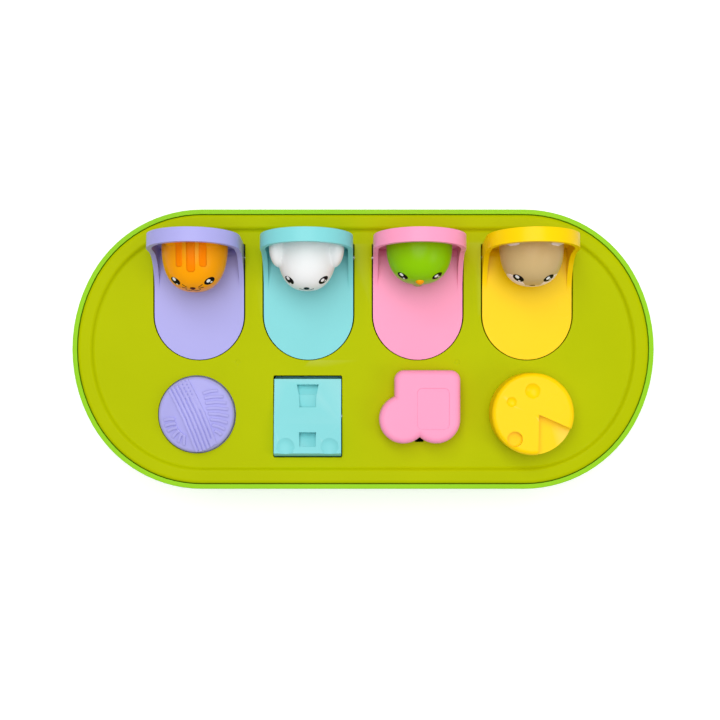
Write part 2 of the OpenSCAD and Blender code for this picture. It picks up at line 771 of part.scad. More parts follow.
// The cam's eccentricity: the same distance to the catch's peg at both ends of the turn
function peg_at(a) = [hood_x[3] + catch_dx, catch_y] + reach_long * [sin(a), -cos(a)] - dial_p;
cam_a0 = 45 + dial_turn;
cam_a1 = 45;
p0 = peg_at(0);
p1 = peg_at(catch_turn);
u0 = [cos(cam_a0), sin(cam_a0)];
u1 = [cos(cam_a1), sin(cam_a1)];
cam_e = (p1 * p1 - p0 * p0) / (2 * (p1 * u1 - p0 * u0));
cam_r = norm(p0 - cam_e * u0) - peg_r - free;

module dial_knob() {
    color("gold") translate([dial_p.x, dial_p.y, 0]) difference() {
        union() {
            translate([0, 0, field_z + free]) rotate_extrude() polygon(concat(
                [[0, 0]], [[dial_d / 2, 0]],
                arc([dial_d / 2 - dial_edge, dial_h - free - dial_edge], dial_edge, 0, 90, 6),
                [[0, dial_h - free]]));
            translate([0, 0, cam_top]) cylinder(r = dial_stem_r, h = field_z + 1 - cam_top);
        }
        // Wedge cut out of the round, and the round dimples
        translate([0, 0, field_z + dial_h - 7]) linear_extrude(9)
            polygon([[3.3, -0.2], [2.8, -30], [31.2, -12.4]]);
        for (d = dimples) translate([d[0], d[1], field_z + dial_h - d[3]]) cylinder(r = d[2], h = 2 * d[3]);
        translate([0, 0, cam_top - 1]) cylinder(r = thread_r, h = 12);
    }
}

module dial_cam() {
    color("lightgray") translate([dial_p.x, dial_p.y, cam_top - cam_t]) difference() {
        translate([cam_e * u0.x, cam_e * u0.y, 0]) cylinder(r = cam_r, h = cam_t);
        translate([0, 0, -1]) cylinder(r = thread_r, h = cam_t + 2);
        for (a = [100:72:400]) rotate([0, 0, a]) translate([cam_hole_at, 0, -1])
            cylinder(r = cam_hole_r, h = cam_t + 2);
    }
}

module dial_screw() {
    color("silver") translate([dial_p.x, dial_p.y, cam_top - cam_t]) {
        translate([0, 0, -1.6]) cylinder(r = 3, h = 1.6);
        cylinder(r = thread_r, h = cam_t + 9);
    }
}

base_tray();
top_panel();
rubber_feet();
case_screws();
for (i = [0:3]) {
    hood(i);
    hinge_pin(i);
    hinge_spring(i);
    head_screw(i);
    catch_lever(i);
    catch_spring(i);
}
cat_head();
dog_head();
bird_head();
bird_beak();
mouse_head();
push_button();
button_spring();
rocker();
rocker_pin();
slider_knob();
slider_carriage();
slider_screw();
dial_knob();
dial_cam();
dial_screw();
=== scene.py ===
import math
import bmesh
import bpy
from mathutils import Matrix, Vector


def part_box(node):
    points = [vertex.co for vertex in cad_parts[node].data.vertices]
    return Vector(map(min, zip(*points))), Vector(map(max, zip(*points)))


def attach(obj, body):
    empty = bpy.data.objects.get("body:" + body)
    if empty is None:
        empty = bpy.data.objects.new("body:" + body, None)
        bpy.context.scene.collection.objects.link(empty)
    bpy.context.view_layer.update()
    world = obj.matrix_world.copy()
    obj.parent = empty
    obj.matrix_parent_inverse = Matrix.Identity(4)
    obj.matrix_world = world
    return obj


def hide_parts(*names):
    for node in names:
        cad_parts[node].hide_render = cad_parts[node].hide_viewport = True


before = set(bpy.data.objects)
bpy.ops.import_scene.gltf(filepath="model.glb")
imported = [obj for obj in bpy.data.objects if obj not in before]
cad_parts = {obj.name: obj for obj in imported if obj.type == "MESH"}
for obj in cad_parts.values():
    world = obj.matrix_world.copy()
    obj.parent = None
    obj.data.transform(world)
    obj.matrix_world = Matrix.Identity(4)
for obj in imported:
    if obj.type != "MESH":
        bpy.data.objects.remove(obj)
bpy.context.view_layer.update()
bpy.ops.object.select_all(action="DESELECT")

# ---- Photograph's view ----
# The photograph looks straight down on the toy from about 0.87 m above the floor.
# The field of the panel is the plane that its scale was measured on.
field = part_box("push_button")[1].z - 0.009
view_height = 0.785
view_centre = (-0.0019, -0.0067)
field_width_in_view = 0.4464
camera_data = bpy.data.cameras.new("camera")
camera_data.sensor_width = 36
camera_data.lens = camera_data.sensor_width * view_height / field_width_in_view
camera = bpy.data.objects.new("camera", camera_data)
camera.location = (view_centre[0], view_centre[1], field + view_height)
bpy.context.scene.collection.objects.link(camera)
bpy.context.scene.camera = camera

# ---- Studio ----
# A white floor that shows as white to the camera and keeps the toy's soft shadow,
# a large soft lamp from the back, a weaker one from the right, and a pale world.
bpy.ops.mesh.primitive_plane_add(size=6, location=(0, 0, 0))
floor = bpy.context.object
floor.name = "floor"
floor_finish = bpy.data.materials.new("floor_white")
floor_finish.use_nodes = True
nodes, links = floor_finish.node_tree.nodes, floor_finish.node_tree.links
nodes.clear()
paths = nodes.new("ShaderNodeLightPath")
diffuse = nodes.new("ShaderNodeBsdfDiffuse")
diffuse.inputs["Color"].default_value = (0.86, 0.86, 0.86, 1)
glow = nodes.new("ShaderNodeEmission")
glow.inputs["Strength"].default_value = 0.42
lifted = nodes.new("ShaderNodeAddShader")
seen = nodes.new("ShaderNodeMixShader")
output = nodes.new("ShaderNodeOutputMaterial")
links.new(diffuse.outputs[0], lifted.inputs[0])
links.new(glow.outputs[0], lifted.inputs[1])
links.new(paths.outputs["Is Camera Ray"], seen.inputs["Fac"])
links.new(diffuse.outputs[0], seen.inputs[1])
links.new(lifted.outputs[0], seen.inputs[2])
links.new(seen.outputs[0], output.inputs["Surface"])
floor.data.materials.append(floor_finish)

world = bpy.data.worlds.new("studio")
world.use_nodes = True
world.node_tree.nodes["Background"].inputs["Color"].default_value = (1, 1, 1, 1)
world.node_tree.nodes["Background"].inputs["Strength"].default_value = 0.4
bpy.context.scene.world = world
bpy.context.scene.view_settings.view_transform = "Standard"


def lamp(name, at, aim, size, watts):
    data = bpy.data.lights.new(name, "AREA")
    data.shape = "DISK"
    data.size = size
    data.energy = watts
    light = bpy.data.objects.new(name, data)
    light.location = at
    light.rotation_euler = (Vector(aim) - Vector(at)).to_track_quat("-Z", "Y").to_euler()
    bpy.context.scene.collection.objects.link(light)


lamp_aim = (0, 0, 0.08)
lamp("key_above", (-0.05, 0.2, 1.5), lamp_aim, 1.3, 14)
lamp("back", (-0.25, 0.85, 1.15), lamp_aim, 0.5, 2.5)
lamp("fill_right", (1.0, -0.3, 0.9), lamp_aim, 0.6, 2)


# ---- Moulded plastic ----
# Every shell of the toy is glossy injection-moulded plastic: even colour with a slight
# cloudiness, a very fine skin texture, and edges worn a little paler.
def moulded_group():
    group = bpy.data.node_groups.new("moulded_plastic", "ShaderNodeTree")
    for name, kind, value in (("Color", "NodeSocketColor", (0.8, 0.8, 0.8, 1)),
                              ("Cloud", "NodeSocketFloat", 0.05), ("Edge Wear", "NodeSocketFloat", 0.12),
                              ("Roughness", "NodeSocketFloat", 0.3), ("Skin", "NodeSocketFloat", 0.02)):
        socket = group.interface.new_socket(name, in_out="INPUT", socket_type=kind)
        socket.default_value = value
    group.interface.new_socket("Color", in_out="OUTPUT", socket_type="NodeSocketColor")
    group.interface.new_socket("Roughness", in_out="OUTPUT", socket_type="NodeSocketFloat")
    group.interface.new_socket("Height", in_out="OUTPUT", socket_type="NodeSocketFloat")
    nodes, links = group.nodes, group.links
    inside = nodes.new("NodeGroupInput")
    outside = nodes.new("NodeGroupOutput")
    coords = nodes.new("ShaderNodeTexCoord")
    cloud = nodes.new("ShaderNodeTexNoise")
    cloud.inputs["Scale"].default_value = 22
    cloud.inputs["Detail"].default_value = 3
    skin = nodes.new("ShaderNodeTexNoise")
    skin.inputs["Scale"].default_value = 1400
    skin.inputs["Detail"].default_value = 2
    links.new(coords.outputs["Object"], cloud.inputs["Vector"])
    links.new(coords.outputs["Object"], skin.inputs["Vector"])
    swing = nodes.new("ShaderNodeMapRange")
    swing.inputs["From Min"].default_value = 0.3
    swing.inputs["From Max"].default_value = 0.7
    links.new(cloud.outputs["Fac"], swing.inputs["Value"])
    dim = nodes.new("ShaderNodeMath")
    dim.operation = "MULTIPLY"
    links.new(swing.outputs["Result"], dim.inputs[0])
    links.new(inside.outputs["Cloud"], dim.inputs[1])
    shade = nodes.new("ShaderNodeMix")
    shade.data_type = "RGBA"
    shade.blend_type = "MULTIPLY"
    shade.inputs["B"].default_value = (0.82, 0.84, 0.86, 1)
    links.new(dim.outputs[0], shade.inputs["Factor"])
    links.new(inside.outputs["Color"], shade.inputs["A"])
    edge = nodes.new("ShaderNodeNewGeometry")
    sharp = nodes.new("ShaderNodeMapRange")
    sharp.inputs["From Min"].default_value = 0.62
    sharp.inputs["From Max"].default_value = 0.75
    links.new(edge.outputs["Pointiness"], sharp.inputs["Value"])
    worn = nodes.new("ShaderNodeMath")
    worn.operation = "MULTIPLY"
    links.new(sharp.outputs["Result"], worn.inputs[0])
    links.new(inside.outputs["Edge Wear"], worn.inputs[1])
    pale = nodes.new("ShaderNodeMix")
    pale.data_type = "RGBA"
    pale.inputs["B"].default_value = (1, 1, 1, 1)
    links.new(worn.outputs[0], pale.inputs["Factor"])
    links.new(shade.outputs["Result"], pale.inputs["A"])
    links.new(pale.outputs["Result"], outside.inputs["Color"])
    rub = nodes.new("ShaderNodeMath")
    rub.operation = "MULTIPLY_ADD"
    rub.inputs[1].default_value = 0.1
    links.new(cloud.outputs["Fac"], rub.inputs[0])
    links.new(inside.outputs["Roughness"], rub.inputs[2])
    links.new(rub.outputs[0], outside.inputs["Roughness"])
    depth = nodes.new("ShaderNodeMath")
    depth.operation = "MULTIPLY"
    links.new(skin.outputs["Fac"], depth.inputs[0])
    links.new(inside.outputs["Skin"], depth.inputs[1])
    links.new(depth.outputs[0], outside.inputs["Height"])
    return group


moulded = moulded_group()


def plastic(name, colour, cloud=0.25, wear=0.06, roughness=0.24, skin=0.05, shine=0.12):
    finish = bpy.data.materials.new(name)
    finish.use_nodes = True
    nodes, links = finish.node_tree.nodes, finish.node_tree.links
    shader = nodes["Principled BSDF"]
    part = nodes.new("ShaderNodeGroup")
    part.node_tree = moulded
    part.inputs["Color"].default_value = (*colour, 1)
    part.inputs["Cloud"].default_value = cloud
    part.inputs["Edge Wear"].default_value = wear
    part.inputs["Roughness"].default_value = roughness
    part.inputs["Skin"].default_value = skin
    links.new(part.outputs["Color"], shader.inputs["Base Color"])
    links.new(part.outputs["Roughness"], shader.inputs["Roughness"])
    bump = nodes.new("ShaderNodeBump")
    bump.inputs["Strength"].default_value = 0.12
    bump.inputs["Distance"].default_value = 0.0004
    links.new(part.outputs["Height"], bump.inputs["Height"])
    links.new(bump.outputs["Normal"], shader.inputs["Normal"])
    shader.inputs["Specular IOR Level"].default_value = shine
    return finish


case_green = plastic("case_green", (0.30, 0.64, 0.015), shine=0.06)
panel_lime = plastic("panel_lime", (0.455, 0.52, 0.0), shine=0.02)
hood_finish = {
    "lilac": plastic("hood_lilac_plastic", (0.425, 0.41, 0.81)),
    "aqua": plastic("hood_aqua_plastic", (0.23, 0.67, 0.69)),
    "pink": plastic("hood_pink_plastic", (1.0, 0.345, 0.545)),
    "yellow": plastic("hood_yellow_plastic", (1.0, 0.66, 0.0)),
}
inner_grey = plastic("inner_plastic", (0.62, 0.62, 0.6), roughness=0.45)

# ---- Steel ----
# Pins, springs and screws are bright drawn wire and turned steel, with fine streaks.
steel = bpy.data.materials.new("steel")
steel.use_nodes = True
nodes, links = steel.node_tree.nodes, steel.node_tree.links
streak = nodes.new("ShaderNodeTexNoise")
streak.inputs["Scale"].default_value = 900
coords = nodes.new("ShaderNodeTexCoord")
tone = nodes.new("ShaderNodeMapRange")
tone.inputs["To Min"].default_value = 0.22
tone.inputs["To Max"].default_value = 0.4
links.new(coords.outputs["Object"], streak.inputs["Vector"])
links.new(streak.outputs["Fac"], tone.inputs["Value"])
links.new(tone.outputs["Result"], nodes["Principled BSDF"].inputs["Roughness"])
nodes["Principled BSDF"].inputs["Base Color"].default_value = (0.6, 0.6, 0.62, 1)
nodes["Principled BSDF"].inputs["Metallic"].default_value = 1

# ---- Rubber feet ----
# Four black rubber discs, matt and slightly grainy.
rubber = plastic("foot_rubber", (0.02, 0.02, 0.02), cloud=0.3, wear=0.02, roughness=0.7, skin=0.4)


def finish_node(node, material):
    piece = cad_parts[node]
    piece.data.materials.clear()
    piece.data.materials.append(material)
    return piece


finish_node("rubber_feet", rubber)
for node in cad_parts:
    if node.startswith(("hinge_pin", "hinge_spring", "head_screw", "catch_spring", "button_spring",
                        "case_screws", "rocker_pin", "slider_screw", "dial_screw")):
        finish_node(node, steel)
    if node.startswith(("catch_lever", "slider_carriage", "dial_cam")):
        finish_node(node, inner_grey)


# ---- Case tray ----
# Bright green moulded tray: a rounded lower edge, a 3 mm wall whose rim shows round the
# panel, and inside it the screw posts and guides of the construction.
MM = 0.001


def fresh(name, kind, **size):
    """Adds a primitive with its place in its mesh, and opens it for editing."""
    if bpy.context.object and bpy.context.object.mode == "EDIT":
        bpy.ops.object.mode_set(mode="OBJECT")
    bpy.ops.object.select_all(action="DESELECT")
    getattr(bpy.ops.mesh, f"primitive_{kind}_add")(**size)
    piece = bpy.context.object
    piece.name = piece.data.name = name
    bpy.ops.object.transform_apply(location=True, rotation=True, scale=True)
    bpy.ops.object.mode_set(mode="EDIT")
    bpy.ops.mesh.select_all(action="SELECT")
    return piece


def pick(test, kind="faces"):
    """Selects the faces, edges or vertices of the open piece that pass the test."""
    bpy.context.tool_settings.mesh_select_mode = (kind == "verts", kind == "edges", kind == "faces")
    bpy.ops.mesh.select_all(action="DESELECT")
    mesh = bmesh.from_edit_mesh(bpy.context.object.data)
    for part in getattr(mesh, kind):
        if test(part):
            part.select_set(True)
    mesh.select_flush_mode()
    bmesh.update_edit_mesh(bpy.context.object.data)


def level(z, kind="faces", near=0.02 * MM):
    """Selects what lies flat at a height."""
    pick(lambda part: all(abs(v.co.z - z) < near for v in (part.verts if kind != "verts" else [part])), kind)


def push(x=0, y=0, z=0):
    bpy.ops.mesh.extrude_region_move(TRANSFORM_OT_translate={"value": (x, y, z)})


def inset(width):
    bpy.ops.mesh.inset(thickness=width, depth=0)


def sweep(x, y, degrees, steps, z):
    bpy.ops.mesh.spin(steps=steps, angle=-math.radians(degrees), center=(x, y, z), axis=(0, 0, 1))


def close(piece):
    """Leaves edit mode with tidy normals."""
    bpy.ops.mesh.select_all(action="SELECT")
    bpy.ops.mesh.remove_doubles(threshold=0.001 * MM)
    bpy.ops.mesh.normals_make_consistent(inside=False)
    bpy.ops.object.mode_set(mode="OBJECT")
    return piece


def point(name, x, y, z):
    piece = fresh(name, "plane", size=0.001, location=(x, y, z))
    bpy.ops.mesh.select_mode(type="VERT")
    bpy.ops.mesh.merge(type="CENTER")
    return piece


end_r, end_x, corner_r, corner_x, corner_y = 0.095, 0.085, 0.078, 0.09972, 0.0085
corner_turn, arc_steps = 60, 14


def case_outline(name, drawn_in, z):
    """The case's outline as one face: straights, corner arcs and end arcs."""
    piece = point(name, -corner_x, -corner_y - corner_r + drawn_in, z)
    push(x=2 * corner_x)
    sweep(corner_x, -corner_y, corner_turn, arc_steps, z)
    sweep(end_x, 0, corner_turn, arc_steps, z)
    sweep(corner_x, corner_y, corner_turn, arc_steps, z)
    push(x=-2 * corner_x)
    sweep(-corner_x, corner_y, corner_turn, arc_steps, z)
    sweep(-end_x, 0, corner_turn, arc_steps, z)
    sweep(-corner_x, -corner_y, corner_turn, arc_steps, z)
    bpy.ops.mesh.select_all(action="SELECT")
    bpy.ops.mesh.remove_doubles(threshold=0.01 * MM)
    bpy.ops.mesh.edge_face_add()
    return piece


def cut(piece, cutter, operation="DIFFERENCE"):
    """Cuts one closed piece with another, which is used up."""
    step = piece.modifiers.new("cut", "BOOLEAN")
    step.operation = operation
    step.solver = "EXACT"
    step.object = cutter
    bpy.ops.object.select_all(action="DESELECT")
    piece.select_set(True)
    bpy.context.view_layer.objects.active = piece
    bpy.ops.object.modifier_apply(modifier=step.name)
    bpy.data.objects.remove(cutter)
    return piece


def soften(piece, width, segments=3, angle=32):
    """Rounds the edges of a closed piece and shades it smooth."""
    bpy.ops.object.select_all(action="DESELECT")
    piece.select_set(True)
    bpy.context.view_layer.objects.active = piece
    step = piece.modifiers.new("rounding", "BEVEL")
    step.width = width
    step.segments = segments
    step.limit_method = "ANGLE"
    step.angle_limit = math.radians(angle)
    bpy.ops.object.modifier_apply(modifier=step.name)
    bpy.ops.object.shade_smooth_by_angle(angle=math.radians(30))
    even = piece.modifiers.new("even", "WEIGHTED_NORMAL")
    even.keep_sharp = True
    bpy.ops.object.modifier_apply(modifier=even.name)
    return piece


def join(piece, *others):
    bpy.ops.object.select_all(action="DESELECT")
    for other in others:
        other.select_set(True)
    piece.select_set(True)
    bpy.context.view_layer.objects.active = piece
    bpy.ops.object.join()
    return piece


def dressed(piece, material, body, slot, *nodes):
    """Gives a finished piece its material and its body, and hides the nodes it stands for."""
    piece.data.materials.clear()
    piece.data.materials.append(material)
    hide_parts(*nodes)
    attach(piece, body)
    return piece


def kept(node, name, test):
    """The part of a node's mesh whose faces pass the test, as an open copy."""
    piece = bpy.data.objects.new(name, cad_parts[node].data.copy())
    bpy.context.scene.collection.objects.link(piece)
    bpy.ops.object.select_all(action="DESELECT")
    piece.select_set(True)
    bpy.context.view_layer.objects.active = piece
    bpy.ops.object.mode_set(mode="EDIT")
    bpy.ops.mesh.select_all(action="SELECT")
    bpy.ops.mesh.remove_doubles(threshold=0.01 * MM)
    pick(lambda face: not test(face))
    bpy.ops.mesh.delete(type="FACE")
    bpy.ops.object.mode_set(mode="OBJECT")
    return piece


def from_edge(x, y):
    """How far a point lies inside the case's outline."""
    x, y = abs(x), abs(y)
    turn = math.atan2(y, x - end_x)
    if 0 < turn < math.radians(corner_turn / 2) and x > end_x:
        return end_r - math.hypot(x - end_x, y)
    if x > corner_x:
        return corner_r - math.hypot(x - corner_x, max(y - corner_y, 0))
    return corner_y + corner_r - y


foot_top, rim_top = 0.002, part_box("base_tray")[1].z
wall, base_round, floor_t = 0.003, 0.008, 0.0025
tray = case_outline("case_tray", 0, foot_top)
push(z=rim_top - foot_top)
level(foot_top, "edges")
bpy.ops.mesh.bevel(offset=base_round, segments=8, profile=0.5)
level(rim_top)
inset(wall)
push(z=foot_top + floor_t - rim_top)
close(tray)
soften(tray, 0.0005, 2, 40)
ledge_in, inside_low = 0.0033, foot_top + floor_t + 0.1 * MM
inner = kept("base_tray", "tray_inside", lambda face: face.calc_center_median().z > inside_low and all(
    from_edge(v.co.x, v.co.y) > ledge_in for v in face.verts))
join(tray, inner)
dressed(tray, case_green, "case", "green_case", "base_tray")

# ---- Top panel ----
# Yellow-green moulded lid of the case: a domed border, a sunk field with the openings of
# lids and controls, two moulding marks, and below it the lugs, bosses and sockets.
under, border, skirt = field - 0.0025, field + 0.0025, field - 0.008
panel_in, field_in, skirt_t, step_w = 0.00335, 0.0133, 0.0025, 0.0018
panel_round, step_round = 0.0022, 0.0011
hood_x = [-0.10155, -0.03385, 0.03385, 0.10155]
hinge_y, hinge_z = 0.0572, field - 0.007
panel = case_outline("panel", panel_in, skirt)
push(z=border - skirt)
level(border, "edges")
bpy.ops.mesh.bevel(offset=panel_round, segments=5, profile=0.55)
level(border)
inset(field_in - panel_in - panel_round - step_w)
bpy.ops.mesh.inset(thickness=step_w, depth=field - border)
pick(lambda edge: all(vert.co.z > field - 0.1 * MM and abs(from_edge(vert.co.x, vert.co.y) - field_in + (
    step_w if vert.co.z > border - 0.1 * MM else 0)) < 0.3 * MM for vert in edge.verts)
    and abs(edge.verts[0].co.z - edge.verts[1].co.z) < 0.1 * MM, "edges")
bpy.ops.mesh.bevel(offset=step_round, segments=4)
level(skirt)
inset(skirt_t)
push(z=under - skirt)
close(panel)


def arch_face(name, x, half, tip, back, z):
    """The outline of a lid or its opening as one face: square behind, round in front."""
    piece = point(name, x - half, back, z)
    push(y=tip + half - back)
    sweep(x, tip + half, 180, 40, z)
    push(y=back - tip - half)
    bpy.ops.mesh.select_all(action="SELECT")
    bpy.ops.mesh.edge_face_add()
    return piece


def disc(name, x, y, z, radius, depth, sides=96):
    """A closed cylinder standing on a height."""
    return fresh(name, "cylinder", radius=radius, depth=depth, vertices=sides, location=(x, y, z + depth / 2))


deep, low = 0.012, field - 0.006
opening_half, opening_tip, opening_back = 0.0285, -0.00695, 0.06515
for x in hood_x:
    arch_face("opening", x, opening_half, opening_tip, opening_back, low)
    push(z=deep)
    cut(panel, close(bpy.context.object))
button_x, button_y, rocker_x, rocker_y = -0.103, -0.0404, -0.0343, -0.0417
slider_x, dial_x, dial_y = 0.0348, 0.103, -0.0395
button_hole_r, dial_hole_r, hole_corner = 0.02415, 0.0061, 0.001
disc("opening", button_x, button_y, low, button_hole_r, deep)
cut(panel, close(bpy.context.object))
rocker_hole = (0.0427, 0.05085)
fresh("opening", "cube", size=1, location=(rocker_x, rocker_y, low + deep / 2))
bpy.ops.transform.resize(value=(*rocker_hole, deep))
pick(lambda edge: abs(edge.verts[0].co.z - edge.verts[1].co.z) > deep / 2, "edges")
bpy.ops.mesh.bevel(offset=hole_corner, segments=4)
cut(panel, close(bpy.context.object))
slot_w, slot_front, slot_back = 0.0053, -0.0575, -0.0327
fresh("opening", "cube", size=1, location=(slider_x, (slot_front + slot_back) / 2, low + deep / 2))
bpy.ops.transform.resize(value=(slot_w, slot_back - slot_front, deep))
cut(panel, close(bpy.context.object))
disc("opening", dial_x, dial_y, low - 0.01, dial_hole_r, 0.03, 48)
cut(panel, close(bpy.context.object))
mark_x, mark_y = (hood_x[0] + 0.024, hood_x[2] + 0.0245), -0.008
mark_r, mark_deep = 0.0015, 0.00025
for x in mark_x:
    disc("mark", x, mark_y, field - mark_deep, mark_r, 0.001, 32)
    cut(panel, close(bpy.context.object))
soften(panel, 0.0005, 3, 40)
lugs = kept("top_panel", "panel_inside", lambda face: all(
    v.co.z < under + 0.00002 and from_edge(v.co.x, v.co.y) > 0.0062 for v in face.verts)
    and face.normal.z < 0.9 and min(v.co.z for v in face.verts) < under - 0.0002)
join(panel, lugs)
dressed(panel, panel_lime, "case", "lime_panel", "top_panel")

# ---- Hoods ----
# Four glossy moulded lids, one colour each: a floor plate, a back plate with a rim, side
# walls with a hollow front edge, and the hinge barrel. Modelled once about the hinge, open.
plate_top, plate_t, band_d, band_t = 0.007, 0.0025, 0.0085, 0.003
hood_half, hood_reach, hood_turn, web_r = 0.0277, 0.0637, math.radians(95.5), 0.023
root, barrel_r, web_turn = 0.0004, 0.0067, math.radians(84.5)
chamber_r, chamber_w, window_h = 0.0047, 0.011, 0.009


def place(piece, x=0, y=0, z=0, turn_x=0.0, turn_y=0.0, turn_z=0.0):
    """Moves a finished piece and keeps its place in its mesh."""
    bpy.ops.object.select_all(action="DESELECT")
    piece.select_set(True)
    bpy.context.view_layer.objects.active = piece
    piece.rotation_euler = (turn_x, turn_y, turn_z)
    piece.location = (x, y, z)
    bpy.ops.object.transform_apply(location=True, rotation=True, scale=True)
    return piece


def hood_model():
    hood = arch_face("lid", 0, hood_half, -hood_reach, root, plate_top - plate_t)
    push(z=plate_t)
    close(hood)
    stand = arch_face("stand", 0, hood_half, -hood_reach, root, plate_top - band_d)
    push(z=band_d)
    close(stand)
    hollow = arch_face("hollow", 0, hood_half - band_t, -hood_reach + band_t, 2 * band_t, -band_d)
    push(z=band_d + plate_top - plate_t)
    cut(stand, close(hollow))
    place(stand, turn_x=-hood_turn)
    cut(hood, stand, "UNION")
    normal_y, normal_z = math.sin(hood_turn), math.cos(hood_turn)
    arc_z = plate_top + web_r
    arc_y = (plate_top - band_d - web_r - normal_z * arc_z) / normal_y
    top_y = arc_y * normal_z - arc_z * normal_y
    for x in (-hood_half, hood_half - band_t):
        web = point("web", x, 0, 0)
        push(y=arc_y, z=plate_top - 0.001)
        push(z=0.001)
        bpy.ops.mesh.spin(steps=20, angle=-web_turn, center=(x, arc_y, arc_z), axis=(1, 0, 0))
        lean = hood_turn - math.pi / 2
        end = Vector((0, arc_y + web_r * math.cos(lean), arc_z - web_r * math.sin(lean)))
        in_back = plate_top - 0.0005
        high = Vector((0, top_y * normal_z + in_back * normal_y, -top_y * normal_y + in_back * normal_z))
        foot = Vector((0, in_back * normal_y, in_back * normal_z))
        push(*(high - end))
        push(*(foot - high))
        bpy.ops.mesh.select_all(action="SELECT")
        bpy.ops.mesh.edge_face_add()
        push(x=band_t)
        cut(hood, close(web), "UNION")
    barrel = place(close(disc("barrel", 0, 0, -hood_half + 0.0003, barrel_r, 2 * hood_half - 0.0006, 64)),
                   turn_y=math.pi / 2)
    cut(hood, barrel, "UNION")
    chamber = close(disc("chamber", 0, 0, -chamber_w / 2, chamber_r, chamber_w, 48))
    place(chamber, turn_y=math.pi / 2)
    cut(hood, chamber)
    fresh("window", "cube", size=1, location=(0, -chamber_r / 2, -window_h / 2))
    bpy.ops.transform.resize(value=(chamber_w, chamber_r, window_h))
    cut(hood, close(bpy.context.object))
    bpy.context.view_layer.objects.active = hood
    bpy.ops.object.mode_set(mode="EDIT")
    bpy.ops.mesh.select_all(action="SELECT")
    bpy.ops.mesh.remove_doubles(threshold=0.01 * MM)
    bpy.ops.mesh.dissolve_limited(angle_limit=math.radians(0.5))
    close(hood)
    return soften(hood, 0.0007, 3, 35)


def twin(piece, name):
    """A copy with its own mesh."""
    other = bpy.data.objects.new(name, piece.data.copy())
    bpy.context.scene.collection.objects.link(other)
    return other


hood = hood_model()
for x, colour in zip(hood_x, hood_finish):
    lid = place(twin(hood, f"lid_{colour}"), x, hinge_y, hinge_z)
    dressed(lid, hood_finish[colour], f"lid_{colour}", f"{colour}_plastic", f"hood_{colour}")
bpy.data.objects.remove(hood)

head_finish = {
    "cat_head": plastic("cat_orange", (1.0, 0.37, 0.0)),
    "dog_head": plastic("dog_white", (0.9, 0.9, 0.9)),
    "bird_head": plastic("bird_green", (0.27, 0.60, 0.0)),
    "mouse_head": plastic("mouse_tan", (0.62, 0.44, 0.2)),
}

# ---- Animal heads ----
# Four hollow moulded heads, domed in front and flat behind, screwed to the back plates and
# tilted up with them. Ears are moulded on. Each is modelled looking along +Z with +Y down.
head_y, head_z = -0.0283, plate_top - plate_t
fullness = 0.8


def ball(name, x, y, z, rx, ry, rz, turn_z=0.0):
    fresh(name, "uv_sphere", radius=1, segments=48, ring_count=32)
    bpy.ops.transform.resize(value=(rx, ry, rz))
    return place(close(bpy.context.object), x, y, z, turn_z=turn_z)


def lathe(name, profile, steps=96):
    """Turns a profile of radius and height about the vertical axis."""
    piece = point(name, profile[0][0], 0, profile[0][1])
    for before, after in zip(profile, profile[1:]):
        push(x=after[0] - before[0], z=after[1] - before[1])
    bpy.ops.mesh.select_all(action="SELECT")
    bpy.ops.mesh.spin(steps=steps, angle=math.tau, center=(0, 0, 0), axis=(0, 0, 1))
    return close(piece)


def dome(radius, depth, rows=24):
    angles = [math.pi / 2 * i / rows for i in range(rows + 1)]
    front = [(radius * max(math.cos(a), 0) ** fullness, depth * math.sin(a) ** fullness) for a in angles]
    return lathe("dome", [(0, 0)] + front[:-1] + [(0, depth)], 72)


def melt(piece, grain=0.0005, rounds=6):
    """Joins overlapping solids into one skin and smooths the seams."""
    bpy.ops.object.select_all(action="DESELECT")
    piece.select_set(True)
    bpy.context.view_layer.objects.active = piece
    skin = piece.modifiers.new("skin", "REMESH")
    skin.mode = "VOXEL"
    skin.voxel_size = grain
    bpy.ops.object.modifier_apply(modifier="skin")
    even = piece.modifiers.new("even", "SMOOTH")
    even.factor = 0.6
    even.iterations = rounds
    bpy.ops.object.modifier_apply(modifier="even")
    bpy.ops.object.shade_smooth()
    return piece


def stand_up(piece, x):
    """From a head's own frame to its place on the back plate."""
    piece.scale.z = -1
    place(piece, 0, head_y, head_z)
    place(piece, turn_x=-hood_turn)
    place(piece, x, hinge_y, hinge_z)
    bpy.ops.object.mode_set(mode="EDIT")
    close(piece)
    return piece


def ear_cone(name, x, base_y, z, width, tip, height, lean):
    fresh(name, "cone", radius1=width, radius2=tip, depth=height, vertices=48)
    bpy.ops.transform.resize(value=(1, 0.36, 1))
    return place(place(close(bpy.context.object), turn_x=math.pi / 2), x, base_y - height / 2, z, turn_z=lean)


cat = dome(0.020, 0.0302)
join(cat, *[ear_cone("ear", side * 0.0128, -0.0142, 0.0029, 0.0078, 0.0012, 0.0125, side * 0.6)
            for side in (-1, 1)])
melt(cat)
dog = dome(0.0183, 0.0295)
join(dog, *[ball("ear", side * 0.0166, -0.004, 0.0042, 0.0056, 0.0105, 0.0118, side * 0.22)
            for side in (-1, 1)])
cut(melt(dog, rounds=3), close(disc("trim", 0, 0, -0.02, 0.04, 0.0202)))
bird = dome(0.020, 0.0255)
join(bird, ear_cone("tuft", 0, -0.018, 0.0018, 0.004, 0.0012, 0.0055, 0))
melt(bird)
mouse = dome(0.0194, 0.0267)
join(mouse, *[ball("ear", side * 0.0128, -0.0155, 0.0022, 0.0074, 0.0078, 0.0019) for side in (-1, 1)])
melt(mouse, rounds=4)

